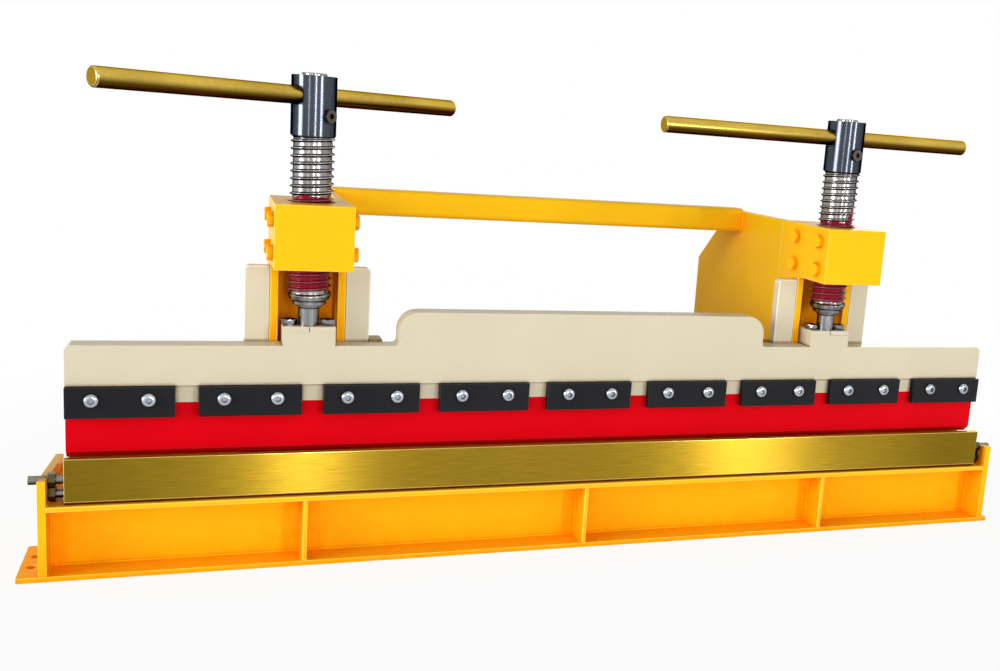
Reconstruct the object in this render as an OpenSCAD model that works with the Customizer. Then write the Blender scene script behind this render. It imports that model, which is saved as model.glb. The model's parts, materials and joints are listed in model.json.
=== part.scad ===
// Manual press brake for the bench, drawn as separate pieces
// +X along the ram, +Y away from the operator, +Z up, sole plate on Z = 0
// Y = 0 is the front face of the ram beam

/* [Ram beam] */
// Length of the ram, the blade and the die
ram_l = 1000; // [600:10:1500]
// Thickness of the ram beam
ram_t = 22.8; // [16:0.2:30]
// Height of the beam's lower edge above the bench, where the blade begins
ram_low = 161.6; // [140:0.2:180]
// Height of the beam from its lower edge to its shoulders
ram_h = 54.4; // [40:0.2:80]
// Height of the step that takes the clamp plates
step_h = 16.6; // [8:0.2:30]
// Depth of that step
step_d = 2.7; // [1:0.1:6]
// How far the hump stands above the shoulders
hump_h = 34; // [21:0.5:70]
// Half the hump's length
hump_half = 202; // [120:1:260]
// Radius of the hump's upper corners
hump_r = 20; // [5:1:30]
// Radius of the hump's inner corners
hump_fillet = 4; // [1:0.5:10]
// Small chamfer on the ram's upper ends
ram_chamfer = 4; // [1:0.5:10]

/* [Blade] */
// Thickness of the bending blade
blade_t = 15; // [8:0.5:20]
// Height of the blade from the beam down to its bevels
blade_h = 45.3; // [20:0.1:46]
// Width of the blade's rounded working edge
blade_nose = 1.2; // [0.6:0.1:3]

/* [Clamp plates] */
// Number of clamp plates
clamp_n = 9; // [5:1:12]
// Gap between two clamp plates
clamp_gap = 20.6; // [5:0.1:40]
// Height of a clamp plate
clamp_h = 28.6; // [20:0.1:40]
// Thickness of a clamp plate
clamp_t = 8; // [4:0.5:12]
// Distance between the two screws of a plate
clamp_screw_gap = 48; // [30:0.5:70]
// Height of the clamp screws above the beam's lower edge
clamp_screw_up = 4.4; // [4.2:0.1:10]
// Diameter of the clamp screws' heads
screw_head_d = 13.5; // [10:0.5:16]
// Height of the clamp screws' heads
screw_head_h = 4.4; // [3:0.1:8]
// Width across the flats of the socket in a screw head
socket_w = 5; // [3:0.5:8]
// Depth of the socket
socket_deep = 2.6; // [1:0.1:4]
// Diameter of the clamp screws' shanks
shank_d = 8; // [5:0.5:10]
// Length of the clamp screws' shanks in the beam
shank_l = 12; // [8:0.5:18]

/* [Base] */
// How far the left foot stands out of its end plate
left_foot_l = 18.6; // [15:0.2:60]
// How far the right foot stands out of its end plate
right_foot_l = 7; // [2:0.2:60]
// Distance from the ram's front plane to the sole's front edge
sole_front = 18.2; // [10:0.2:40]
// Depth of the sole plate
sole_d = 79; // [60:1:120]
// Thickness of the sole and table plates
sole_t = 5; // [4:0.5:10]
// Height of the table's top
table_z = 71.2; // [50:0.2:100]
// Distance from the ram's front plane to the table's front edge
table_front = 19; // [10:0.5:40]
// Depth of the table plate
table_d = 132; // [100:1:180]
// Distance from the ram's front plane to the web
web_y = 9.5; // [5:0.5:30]
// Thickness of the two webs under the table
web_t = 8; // [5:0.5:12]
// Distance from the middle rib to the ribs at its sides
rib_x = 289; // [150:1:400]
// Thickness of a front rib
rib_t = 4.4; // [3:0.1:10]
// Distance from the die's ends to the end plates
end_gap = 14.4; // [10:0.2:30]
// Thickness of the end plates
end_t = 7; // [5:0.5:12]
// How far the end plates stand above the table at their front edge
end_rise = 24.4; // [15:0.2:60]
// How much lower the end plates are at their rear edge
end_fall = 14.6; // [0:0.2:30]
// Distance from the left end plate to the bench holes
hole_out = 9.1; // [6:0.1:30]
// Distance from the ram's front plane to the front bench holes
hole_y = 8.5; // [5:0.5:30]
// Distance between the left foot's two bench holes
hole_gap = 25.4; // [15:0.1:60]
// Diameter of the bench holes
hole_d = 9; // [5:0.5:14]

/* [Die] */
// Distance from the ram's front plane to the die's front face
die_front = 16.5; // [10:0.5:30]
// Height of the die
die_h = 43.6; // [25:0.2:44]
// Half the width of the die's groove
groove_half = 20; // [6:0.5:22]
// Chamfer along the die's lower front edge
die_chamfer = 3; // [1:0.5:6]
// Diameter of the die's adjusting studs
stud_d = 8; // [5:0.5:12]
// Height of the upper studs above the table
stud_up = 20; // [15:0.1:30]
// Height of the lower studs above the table
stud_low = 6.8; // [6.7:0.1:12]
// Distance from the die's front face to the studs
stud_in = 16.5; // [8:0.5:20]
// How far the upper studs stand out of the end plates
stud_tail = 9; // [4:0.5:25]
// Width across the flats of the nuts and bolt heads
nut_w = 13; // [8:0.5:19]
// Height of the lock nuts
nut_h = 6.5; // [3:0.1:10]

/* [Frames] */
// Distance from the middle to each screw
frame_x = 288; // [180:1:400]
// Width of a head block and of its frame
head_w = 71.8; // [50:0.2:100]
// Height from the ram's shoulders to the head blocks
head_gap = 77; // [60:1:120]
// Height of the head blocks
head_h = 60.5; // [40:0.5:90]
// Distance from the ram's front plane to a head's front face
head_front = 33; // [20:0.5:60]
// Distance from the ram's front plane to a head's rear face
head_back = 70.5; // [50:0.5:100]
// Thickness of the side plates
side_t = 8; // [5:0.5:12]
// Distance from a head bolt to the head's front face
head_bolt_in = 18; // [8:0.1:25]
// Distance between the head bolts of one row
head_bolt_gap = 50.7; // [30:0.1:70]
// Height of the lower head bolts above the head's lower face
head_bolt_up = 14; // [8:0.1:20]
// Distance between the two rows of head bolts
head_bolt_rise = 31; // [16:0.1:38]
// Clearance between the ram and the guide bars
guide_gap = 0.5; // [0.3:0.1:1]
// Distance from the ram's front plane to the throat's rear wall
throat_y = 42; // [38:0.5:80]
// Clearance in height between the die and the throat's upper edge
throat_gap = 10.2; // [2:0.2:30]
// Distance from the ram's front plane to the side plates' rear edge
side_back = 295; // [200:1:400]
// Height of the rear chamfer
side_drop = 72.2; // [20:0.2:150]
// Length of the rear chamfer seen from above
side_cut_l = 83.6; // [20:0.2:90]
// Straight part of an outer side plate's rear edge below its head block
outer_drop = 14; // [5:1:60]
// Fall of the slanted rear edge of an outer side plate
outer_fall = 90; // [40:1:150]
// Distance from the side plates' front edges to the back plate
back_set = 29; // [10:0.5:60]
// Thickness of the back plate
back_t = 8; // [5:0.5:12]
// Length of a guide bar across the frame
guide_w = 23.5; // [15:0.1:40]
// Thickness of a guide bar
guide_t = 12; // [6:0.5:20]
// How far the guide bars end below the heads
guide_fall = 3.5; // [1:0.1:20]
// Chamfer on the guide bars' outer upper corners
guide_corner = 3; // [1:0.1:8]
// Width of a rear foot strip
foot_w = 110; // [80:1:160]
// Distance from a rear foot's rear edge to its hole
rear_hole_in = 30; // [10:1:100]

/* [Tie tube] */
// Distance from the ram's front plane to the tube's front face
tube_y = 173; // [120:0.5:230]
// How far the tube's lower face lies below the heads' top
tube_sink = 25.5; // [5:0.5:60]
// Width and height of the tube
tube_w = 29; // [20:0.5:50]
// Radius of the tube's outer corners
tube_r = 6; // [2:0.5:10]
// Wall thickness of the tube
tube_wall = 3; // [1.5:0.5:5]

/* [Screws] */
// Distance from the ram's front plane to the screws' axes
screw_y = 14.2; // [8:0.1:30]
// Outer diameter of the trapezoidal screws
screw_d = 40.6; // [33:0.2:43]
// Length of the thread
thread_l = 151; // [140:1:200]
// Height of the cone from the collar's lower edge to the thread
cone_h = 9.2; // [8:0.1:15]
// Diameter of the collar under the thread
collar_d = 31.5; // [24:0.5:38]
// Length of the neck between the keeper and the collar
neck_l = 20.3; // [12:0.1:30]
// Height of the collar's rim
collar_h = 3.4; // [2:0.1:6]
// Diameter of the screws' necks
neck_d = 19.6; // [12:0.1:30]
// Diameter of the thrust ring inside the keeper
thrust_d = 26; // [22:0.5:36]
// Height of the thrust ring
thrust_h = 9; // [5:0.1:12]
// Height of the hubs
hub_h = 55; // [50:0.5:80]
// Diameter of the hubs
hub_d = 41.8; // [36:0.2:50]
// Diameter of the screws' upper ends in the hubs
stub_d = 23; // [20:0.5:30]
// How far the screws' ends stand out of the hubs
stub_proud = 2.5; // [1:0.5:6]
// Distance from a hub's upper face to its tommy bar
bar_drop = 18.5; // [14:0.5:22]
// Diameter of the tommy bars
bar_d = 17; // [10:0.5:20]
// Length of a tommy bar
bar_l = 400; // [250:5:600]
// Chamfer at the tommy bars' ends
bar_edge = 1.2; // [0.5:0.1:3]
// How far the left bar is pushed to its own left end
bar_shift_left = 16; // [0:1:60]
// How far the right bar is pushed to its own left end
bar_shift_right = 30; // [0:1:60]
// Angle of the left bar seen from above, in degrees
left_bar_angle = 34.9; // [0:0.1:90]
// Angle of the right bar seen from above, in degrees
right_bar_angle = 4.9; // [0:0.1:90]
// Distance of the hub screws below the bars
pin_drop = 17.5; // [14:0.5:22]
// Diameter of the hub screws' heads
pin_head_d = 12; // [8:0.5:14]
// Height of the hub screws' heads
pin_head_h = 4.5; // [3:0.1:8]
// Depth of the flat spot under a hub screw's head
pin_spot = 1.2; // [0.5:0.1:3]
// Diameter of the hub screws' shanks
pin_d = 5; // [3:0.5:8]
// Outer diameter of the screw nuts
nut_od = 56; // [48:1:60]
// Distance from a head's top to the screw nut
nut_cover = 8; // [5:0.5:20]
// Diameter of the hole in a head's top
top_hole_d = 44; // [42:0.5:50]

/* [Keepers] */
// Width of a keeper block
keeper_w = 49; // [40:0.5:70]
// Depth of a keeper block
keeper_d = 31; // [20:0.1:40]
// Height of a keeper block
keeper_h = 13.5; // [11:0.1:25]
// Thickness of the keepers' cap plates
cap_t = 5; // [3:0.5:8]
// Width of the slit between a cap's two halves
cap_slit = 0.7; // [0.4:0.1:1.5]
// Distance from a screw's axis to the keeper bolts
keeper_bolt_x = 17.8; // [16:0.1:22]
// Diameter of the keeper bolts
keeper_shank_d = 8; // [4:0.5:10]
// Height of the keeper bolts' heads
bolt_head_h = 5.5; // [4:0.1:8]

/* [Guide shoes] */
// Width of a guide shoe beside its bar
shoe_w = 13; // [6:0.5:16]
// How far the left shoe stands above the ram's shoulders
shoe_rise = 2.2; // [0:0.1:12]
// Length of the shoes below the ram's shoulders
shoe_l = 50; // [20:0.5:54]
// How far a shoe hooks behind its bar
shoe_hook = 8; // [4:0.5:12]

/* [Fits] */
// Radial clearance of the running fits
run_clear = 0.05; // [0.02:0.01:0.09]
// Clearance between pieces that only pass each other
pass_clear = 0.4; // [0.3:0.1:1]
// Axial clearance of the thrust ring
end_clear = 0.2; // [0.1:0.05:0.5]

/* [Hidden] */
// Smoothness of the round faces
$fn = 96;
// Number of sides of a nut
hex_sides = 6;
// Overrun of the cuts
over = 1;
half_l = ram_l / 2;
clamp_w = (ram_l - (clamp_n - 1) * clamp_gap) / clamp_n;
clamp_pitch = clamp_w + clamp_gap;
ram_top = ram_low + ram_h;
ram_step = ram_low + step_h;
hump_top = ram_top + hump_h;
clamp_low = ram_step - pass_clear - clamp_h;
clamp_front = step_d - clamp_t;
clamp_screw_z = ram_low + clamp_screw_up;
blade_bevel_z = ram_low - blade_h;
blade_mid = step_d + blade_t / 2;
blade_tip = blade_bevel_z - (blade_t - blade_nose) / 2;
end_x = half_l + end_gap;
end_out = end_x + end_t;
end_h = table_z + end_rise;
hole_x = end_out + hole_out;
die_top = table_z + die_h;
die_rear = 2 * blade_mid + die_front;
groove_deep = groove_half;
stud_y = stud_in - die_front;
stud_z_upper = table_z + stud_up;
stud_z_lower = table_z + stud_low;
table_rear = table_d - table_front;
web_h = table_z - 2 * sole_t;
sole_rear = sole_d - sole_front;
head_half = head_w / 2;
head_low = ram_top + head_gap;
head_top = head_low + head_h;
guide_y = ram_t + guide_gap;
guide_top = head_low - guide_fall;
throat_z = die_top + throat_gap;
side_corner_z = head_top - side_drop;
side_corner_y = side_back - side_cut_l;
outer_step_z = head_low - outer_drop;
outer_corner_z = outer_step_z - outer_fall;
tube_low = head_top - tube_sink;
keeper_top = ram_top + keeper_h;
cap_top = keeper_top + cap_t;
ring_low = keeper_top - thrust_h - end_clear;
pocket_low = ring_low - end_clear;
collar_low = cap_top + neck_l;
thread_low = collar_low + cone_h;
hub_low = thread_low + thread_l;
hub_top = hub_low + hub_h;
bar_z = hub_top - bar_drop;
pin_z = bar_z - pin_drop;
hex_share = 1 / cos(180 / hex_sides);
nut_d = nut_w * hex_share;
// Side of a square, turned by 45 degrees, that cuts a chamfer
diagonal_share = sqrt(2);
// Heights and widths of a round screw head's crown
dome_share = 0.35;
waist_share = 0.44;
brow_share = 0.75;
crown_share = 0.33;
// Widths and heights of the steps on a spindle's collar
boss_share = 0.6;
boss_rise_share = 0.4;
lip_share = 0.48;
lip_rise_share = 0.3;
root_share = 0.47;

ram_color = [0.80, 0.76, 0.62];
paint_color = [0.96, 0.62, 0.04];
paint_dark = [0.82, 0.46, 0.02];
clamp_color = [0.09, 0.09, 0.10];
blade_color = [0.74, 0.02, 0.04];
die_color = [0.58, 0.48, 0.16];
steel_color = [0.62, 0.62, 0.63];
zinc_color = [0.80, 0.82, 0.86];
hub_color = [0.22, 0.23, 0.26];
bar_color = [0.80, 0.68, 0.38];
bronze_color = [0.55, 0.42, 0.16];

// A rod along +X
module rod_x(d, l) {
    rotate([0, 90, 0]) cylinder(d = d, h = l);
}

// A rod along -Y
module rod_front(d, l) {
    rotate([90, 0, 0]) cylinder(d = d, h = l);
}

// A plate in the YZ plane, drawn by its outline and extruded along +X
module side_cut(points, t) {
    rotate([90, 0, 90]) linear_extrude(height = t) polygon(points);
}

// Outline of one end plate
module end_outline(x) {
    translate([x, 0, 0])
        side_cut([[-sole_front, sole_t], [table_rear, sole_t],
            [table_rear, end_h - end_fall], [-sole_front, end_h]], end_t);
}

// End plate with two stud holes, the plate's left face at x
module end_plate(x) {
    color(paint_color) difference() {
        end_outline(x);
        for (z = [stud_z_upper, stud_z_lower])
            translate([x - over, stud_y, z])
                rod_x(stud_d + 2 * run_clear, end_t + 2 * over);
    }
}

// Sole plate with two bench holes in its left foot
module base_sole_plate() {
    color(paint_color) difference() {
        translate([-end_out - left_foot_l, -sole_front, 0])
            cube([2 * end_out + left_foot_l + right_foot_l, sole_d, sole_t]);
        for (y = [hole_y, hole_y + hole_gap])
            translate([-hole_x, y, -over]) cylinder(d = hole_d, h = sole_t + 2 * over);
    }
}

// Vertical web between sole and table
module base_front_web() {
    color(paint_dark) translate([-end_x, web_y, sole_t]) cube([2 * end_x, web_t, web_h]);
}

// Second web under the table's rear edge
module base_rear_web() {
    color(paint_dark) translate([-end_x, table_rear - web_t, sole_t])
        cube([2 * end_x, web_t, web_h]);
}

// Table plate that carries the die
module base_table_plate() {
    color(paint_color) translate([-end_x, -table_front, table_z - sole_t])
        cube([2 * end_x, table_d, sole_t]);
}

// One front rib, centred on x
module base_rib(x) {
    color(paint_color) translate([x - rib_t / 2, -sole_front, sole_t])
        cube([rib_t, web_y + sole_front, web_h]);
}

module base_rib_left() base_rib(-rib_x);
module base_rib_middle() base_rib(0);
module base_rib_right() base_rib(rib_x);
module end_plate_left() end_plate(-end_x - end_t);
module end_plate_right() end_plate(end_x);

// Foot strip behind the sole, under one frame, with a bench hole
module rear_foot(x) {
    color(paint_color) difference() {
        translate([x - foot_w / 2, sole_rear, 0])
            cube([foot_w, side_back - sole_rear, sole_t]);
        translate([x, side_back - rear_hole_in, -over])
            cylinder(d = hole_d, h = sole_t + 2 * over);
    }
}

module rear_foot_left() rear_foot(-frame_x);
module rear_foot_right() rear_foot(frame_x);

// Inner side plate of a frame, its left face at x, high at the back for the tie tube
module inner_side(x) {
    color(paint_color) translate([x, 0, 0])
        side_cut([[throat_y, table_z], [throat_y, throat_z], [guide_y, throat_z],
            [guide_y, head_low], [head_back, head_low], [head_back, head_top],
            [side_corner_y, head_top], [side_back, side_corner_z], [side_back, sole_t],
            [table_rear, sole_t], [table_rear, table_z]], side_t);
}

// Outer side plate of a frame, its left face at x, no higher than the head block's underside
module outer_side(x) {
    color(paint_color) translate([x, 0, 0])
        side_cut([[throat_y, table_z], [throat_y, throat_z], [guide_y, throat_z],
            [guide_y, head_low], [head_back, head_low], [head_back, outer_step_z],
            [side_back, outer_corner_z], [side_back, sole_t],
            [table_rear, sole_t], [table_rear, table_z]], side_t);
}

module left_frame_outer_side() outer_side(-frame_x - head_half);
module left_frame_inner_side() inner_side(-frame_x + head_half - side_t);
module right_frame_inner_side() inner_side(frame_x - head_half);
module right_frame_outer_side() outer_side(frame_x + head_half - side_t);

// Back plate that closes a frame's channel
module frame_back(x) {
    color(paint_dark) translate([x - head_half + side_t, guide_y + back_set, table_z])
        cube([head_w - 2 * side_t, back_t, head_low - table_z]);
}

module left_frame_back_plate() frame_back(-frame_x);
module right_frame_back_plate() frame_back(frame_x);

// Guide bar on the side plate whose face is at x, standing out to side -1 or 1
module guide_bar(x, side) {
    color(ram_color) translate([x, guide_y + guide_t, 0]) rotate([90, 0, 0])
        linear_extrude(height = guide_t)
            polygon([[0, throat_z], [side * guide_w, throat_z],
                [side * guide_w, guide_top - guide_corner],
                [side * (guide_w - guide_corner), guide_top], [0, guide_top]]);
}

module left_outer_guide_bar() guide_bar(-frame_x - head_half, -1);
module left_inner_guide_bar() guide_bar(-frame_x + head_half, 1);
module right_inner_guide_bar() guide_bar(frame_x - head_half, -1);
module right_outer_guide_bar() guide_bar(frame_x + head_half, 1);

// Head block with a seat for the screw nut, open below
module head_block(x) {
    color(paint_color) difference() {
        translate([x - head_half, -head_front, head_low])
            cube([head_w, head_front + head_back, head_top - head_low]);
        translate([x, screw_y, head_low - over])
            cylinder(d = nut_od, h = head_top - nut_cover - head_low + over);
        translate([x, screw_y, head_low]) cylinder(d = top_hole_d, h = head_top);
    }
}

module left_head_block() head_block(-frame_x);
module right_head_block() head_block(frame_x);

// Bronze nut pressed into a head block
module screw_nut(x) {
    color(bronze_color) translate([x, screw_y, head_low]) difference() {
        cylinder(d = nut_od, h = head_top - nut_cover - head_low);
        translate([0, 0, -over])
            cylinder(d = screw_d + 2 * run_clear, h = head_top - head_low + over);
    }
}

module left_screw_nut() screw_nut(-frame_x);
module right_screw_nut() screw_nut(frame_x);

// Heads of the bolts on both sides of a head block
module head_bolts(x) {
    for (y = [head_bolt_in - head_front, head_bolt_in - head_front + head_bolt_gap])
        for (z = [head_low + head_bolt_up, head_low + head_bolt_up + head_bolt_rise]) {
            color(paint_color) translate([x - head_half - bolt_head_h, y, z])
                rotate([0, 90, 0]) cylinder(d = nut_d, h = bolt_head_h, $fn = hex_sides);
            color(paint_color) translate([x + head_half, y, z])
                rotate([0, 90, 0]) cylinder(d = nut_d, h = bolt_head_h, $fn = hex_sides);
        }
}

module left_head_bolts() head_bolts(-frame_x);
module right_head_bolts() head_bolts(frame_x);

// Rounded square tube between the two frames
module tie_tube() {
    color(paint_color)
        translate([-frame_x + head_half, tube_y + tube_w / 2, tube_low + tube_w / 2])
            rotate([90, 0, 90])
                linear_extrude(height = 2 * (frame_x - head_half))
                    difference() {
                        rounded_square(tube_w, tube_r);
                        rounded_square(tube_w - 2 * tube_wall, tube_r - tube_wall);
                    }
}

// Square with round corners, drawn from squares and circles
module rounded_square(w, r) {
    square([w - 2 * r, w], center = true);
    square([w, w - 2 * r], center = true);
    for (a = [-1, 1])
        for (b = [-1, 1])
            translate([a * (w / 2 - r), b * (w / 2 - r)]) circle(r = r);
}

// Die bar with its groove
module die_bar() {
    color(die_color) translate([-half_l, 0, 0])
        side_cut([[-die_front, table_z + die_chamfer], [die_chamfer - die_front, table_z],
            [die_rear, table_z], [die_rear, die_top], [blade_mid + groove_half, die_top],
            [blade_mid, die_top - groove_deep], [blade_mid - groove_half, die_top],
            [-die_front, die_top]], ram_l);
}

// Adjusting studs that press on the die's ends
module die_studs() {
    reach = end_x + end_t - half_l;
    for (s = [-1, 1])
        color(zinc_color) {
            translate([s * (half_l + (reach + stud_tail) / 2), stud_y, stud_z_upper])
                rotate([0, 90, 0])
                    cylinder(d = stud_d, h = reach + stud_tail, center = true);
            translate([s * (half_l + reach / 2), stud_y, stud_z_lower])
                rotate([0, 90, 0]) cylinder(d = stud_d, h = reach, center = true);
        }
}

// Lock nuts on the studs, against the end plates' inner faces
module die_lock_nuts() {
    for (s = [-1, 1])
        for (z = [stud_z_upper, stud_z_lower])
            color(bronze_color)
                translate([s * (end_x - nut_h / 2), stud_y, z])
                    rotate([0, 90, 0]) rotate([0, 0, 180 / hex_sides]) difference() {
                        cylinder(d = nut_d, h = nut_h, center = true, $fn = hex_sides);
                        cylinder(d = stud_d + 2 * run_clear, h = nut_h + 2 * over,
                            center = true);
                    }
}

// Front outline of the ram beam from its step up to the hump
module beam_outline(low) {
    difference() {
        union() {
            translate([-half_l, low]) square([ram_l, ram_top - low]);
            translate([-hump_half, ram_top - over])
                square([2 * hump_half, hump_h - hump_r + over]);
            translate([hump_r - hump_half, ram_top - over])
                square([2 * (hump_half - hump_r), hump_h + over]);
            for (s = [-1, 1])
                translate([s * (hump_half - hump_r), hump_top - hump_r]) circle(r = hump_r);
            for (s = [-1, 1])
                translate([s * (hump_half + hump_fillet / 2), ram_top + hump_fillet / 2])
                    square(hump_fillet, center = true);
        }
        for (s = [-1, 1])
            translate([s * (hump_half + hump_fillet), ram_top + hump_fillet])
                circle(r = hump_fillet);
        for (s = [-1, 1])
            translate([s * half_l, ram_top]) rotate(45)
                square(ram_chamfer * diagonal_share, center = true);
    }
}

// Ram beam with the step that takes the clamp plates and holes for their screws
module ram_beam() {
    color(ram_color) difference() {
        translate([0, ram_t, 0]) rotate([90, 0, 0])
            linear_extrude(height = ram_t) beam_outline(ram_low);
        translate([-half_l - over, -over, ram_low - over])
            cube([ram_l + 2 * over, step_d + over, ram_step - ram_low + over]);
        for (i = [0:clamp_n - 1])
            for (s = [-1, 1])
                translate([(i - (clamp_n - 1) / 2) * clamp_pitch + s * clamp_screw_gap / 2,
                    step_d + shank_l + over, clamp_screw_z])
                    rod_front(shank_d + 2 * run_clear, shank_l + 2 * over);
    }
}

// Blade under the beam, with a bevelled edge
module ram_blade() {
    color(blade_color) translate([-half_l, 0, 0])
        side_cut([[step_d, ram_low], [step_d, blade_bevel_z],
            [blade_mid - blade_nose / 2, blade_tip], [blade_mid + blade_nose / 2, blade_tip],
            [step_d + blade_t, blade_bevel_z], [step_d + blade_t, ram_low]], ram_l);
}

// Clamp plate number i, counted from the left, with two screw holes
module clamp_plate(i) {
    x = (i - (clamp_n + 1) / 2) * clamp_pitch;
    color(clamp_color) difference() {
        translate([x - clamp_w / 2, clamp_front, clamp_low])
            cube([clamp_w, clamp_t, clamp_h]);
        for (s = [-1, 1])
            translate([x + s * clamp_screw_gap / 2, step_d + over, clamp_screw_z])
                rod_front(shank_d + 2 * run_clear, clamp_t + 2 * over);
    }
}

module clamp_plate_1() clamp_plate(1);
module clamp_plate_2() clamp_plate(2);
module clamp_plate_3() clamp_plate(3);
module clamp_plate_4() clamp_plate(4);
module clamp_plate_5() clamp_plate(5);
module clamp_plate_6() clamp_plate(6);
module clamp_plate_7() clamp_plate(7);
module clamp_plate_8() clamp_plate(8);
module clamp_plate_9() clamp_plate(9);

// Round-headed socket screws through the clamp plates
module clamp_screws() {
    for (i = [0:clamp_n - 1])
        for (s = [-1, 1])
            color(zinc_color)
                translate([(i - (clamp_n - 1) / 2) * clamp_pitch + s * clamp_screw_gap / 2,
                    clamp_front, clamp_screw_z])
                    socket_screw();
}

// One socket screw, its head's seat at the origin and its shank along +Y
module socket_screw() {
    difference() {
        union() {
            rotate([90, 0, 0]) rotate_extrude()
                polygon([[0, 0], [screw_head_d / 2, 0],
                    [screw_head_d / 2, screw_head_h * dome_share],
                    [screw_head_d * waist_share, screw_head_h * brow_share],
                    [screw_head_d * crown_share, screw_head_h], [0, screw_head_h]]);
            translate([0, clamp_t + shank_l - over, 0])
                rod_front(shank_d, clamp_t + shank_l - over);
        }
        translate([0, socket_deep - screw_head_h, 0])
            rotate([90, 0, 0])
                cylinder(d = socket_w * hex_share, h = socket_deep + over, $fn = hex_sides);
    }
}

// Keeper block on the ram with a pocket for the thrust ring
module keeper_block(x) {
    color(ram_color) difference() {
        translate([x - keeper_w / 2, 0, ram_top])
            cube([keeper_w, keeper_d, keeper_top - ram_top]);
        translate([x, screw_y, pocket_low])
            cylinder(d = thrust_d + 2 * run_clear, h = keeper_top);
        for (s = [-1, 1])
            translate([x + s * keeper_bolt_x, screw_y, ram_top])
                cylinder(d = keeper_shank_d + 4 * run_clear, h = keeper_top);
    }
}

// Cap half over the thrust ring, side -1 or 1
module keeper_cap(x, side) {
    color(ram_color) intersection() {
        difference() {
            translate([x - keeper_w / 2, 0, keeper_top]) cube([keeper_w, keeper_d, cap_t]);
            translate([x, screw_y, keeper_top - over])
                cylinder(d = neck_d + 2 * run_clear, h = cap_t + 2 * over);
            for (s = [-1, 1])
                translate([x + s * keeper_bolt_x, screw_y, keeper_top - over])
                    cylinder(d = keeper_shank_d + 4 * run_clear, h = cap_t + 2 * over);
        }
        translate([x + side * (keeper_w + cap_slit) / 2, keeper_d / 2, keeper_top])
            cube([keeper_w, keeper_d + 2 * over, 3 * cap_t], center = true);
    }
}

module left_keeper_block() keeper_block(-frame_x);
module right_keeper_block() keeper_block(frame_x);
module left_keeper_cap_a() keeper_cap(-frame_x, -1);
module left_keeper_cap_b() keeper_cap(-frame_x, 1);
module right_keeper_cap_a() keeper_cap(frame_x, -1);
module right_keeper_cap_b() keeper_cap(frame_x, 1);

// Four hexagon bolts that hold the keeper caps
module keeper_bolts() {
    for (x = [-frame_x, frame_x])
        for (s = [-1, 1])
            color(zinc_color) translate([x + s * keeper_bolt_x, screw_y, cap_top]) {
                rotate([0, 0, 30]) cylinder(d = nut_d, h = bolt_head_h, $fn = hex_sides);
                translate([0, 0, ram_top - cap_top])
                    cylinder(d = keeper_shank_d, h = cap_top - ram_top);
            }
}

// Bronze shoe on the ram's rear face that hooks behind a guide bar, side -1 or 1
module guide_shoe(x, side, top) {
    color(bronze_color) translate([x, 0, ram_top - shoe_l])
        linear_extrude(height = top - ram_top + shoe_l)
            polygon([[0, ram_t], [side * shoe_w, ram_t],
                [side * shoe_w, guide_y + guide_t + pass_clear + shoe_hook],
                [-side * shoe_hook, guide_y + guide_t + pass_clear + shoe_hook],
                [-side * shoe_hook, guide_y + guide_t + pass_clear],
                [0, guide_y + guide_t + pass_clear]]);
}

module left_guide_shoe()
    guide_shoe(-frame_x + head_half + guide_w + pass_clear, 1, ram_top + shoe_rise);
module right_guide_shoe()
    guide_shoe(frame_x - head_half - guide_w - pass_clear, -1, ram_top);

// Screw spindle with its thrust ring, neck, collar, thread and upper stub
module spindle(x, turn) {
    color(steel_color) translate([x, screw_y, 0]) difference() {
        rotate_extrude()
            polygon([[0, ring_low], [thrust_d / 2, ring_low],
                [thrust_d / 2, ring_low + thrust_h], [neck_d / 2, ring_low + thrust_h],
                [neck_d / 2, collar_low - collar_h],
                [neck_d * boss_share, collar_low - collar_h * boss_rise_share],
                [neck_d * boss_share, collar_low], [collar_d * lip_share, collar_low],
                [collar_d / 2, collar_low + collar_h * lip_rise_share],
                [collar_d / 2, collar_low + collar_h],
                [screw_d * root_share, thread_low - collar_h], [screw_d / 2, thread_low],
                [screw_d / 2, hub_low], [stub_d / 2, hub_low],
                [stub_d / 2, hub_top + stub_proud], [0, hub_top + stub_proud]]);
        translate([0, 0, bar_z]) rotate([0, 90, turn])
            cylinder(d = bar_d + 2 * run_clear, h = 2 * stub_d, center = true);
    }
}

module left_spindle() spindle(-frame_x, left_bar_angle);
module right_spindle() spindle(frame_x, right_bar_angle);

// Hub with a cross hole for the tommy bar
module hub(x, turn) {
    color(hub_color) translate([x, screw_y, 0]) difference() {
        translate([0, 0, hub_low]) cylinder(d = hub_d, h = hub_top - hub_low);
        translate([0, 0, hub_low - over])
            cylinder(d = stub_d + 2 * run_clear, h = hub_top - hub_low + 2 * over);
        translate([0, 0, bar_z]) rotate([0, 90, turn])
            cylinder(d = bar_d + 2 * run_clear, h = 2 * hub_d, center = true);
        translate([0, 0, pin_z]) rotate([90, 0, turn])
            cylinder(d = pin_d + 2 * run_clear, h = hub_d);
        translate([0, 0, pin_z]) rotate([90, 0, turn])
            translate([0, 0, hub_d / 2 - pin_spot])
                cylinder(d = pin_head_d + 2 * run_clear, h = hub_d);
    }
}

module left_hub() hub(-frame_x, left_bar_angle);
module right_hub() hub(frame_x, right_bar_angle);

// Screw that locks a hub on its spindle, square to the tommy bar
module hub_screw(x, turn) {
    color(zinc_color) translate([x, screw_y, pin_z]) rotate([0, 0, turn])
        difference() {
            union() {
                translate([0, -hub_d / 2 + pin_spot, 0])
                    rod_front(pin_head_d, pin_head_h + pin_spot);
                translate([0, -stub_d / 2 - pass_clear, 0])
                    rod_front(pin_d, (hub_d - stub_d) / 2);
            }
            translate([0, -hub_d / 2 - pin_head_h + socket_deep, 0])
                rotate([90, 0, 0])
                    cylinder(d = socket_w * hex_share, h = socket_deep + over,
                        $fn = hex_sides);
        }
}

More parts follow.
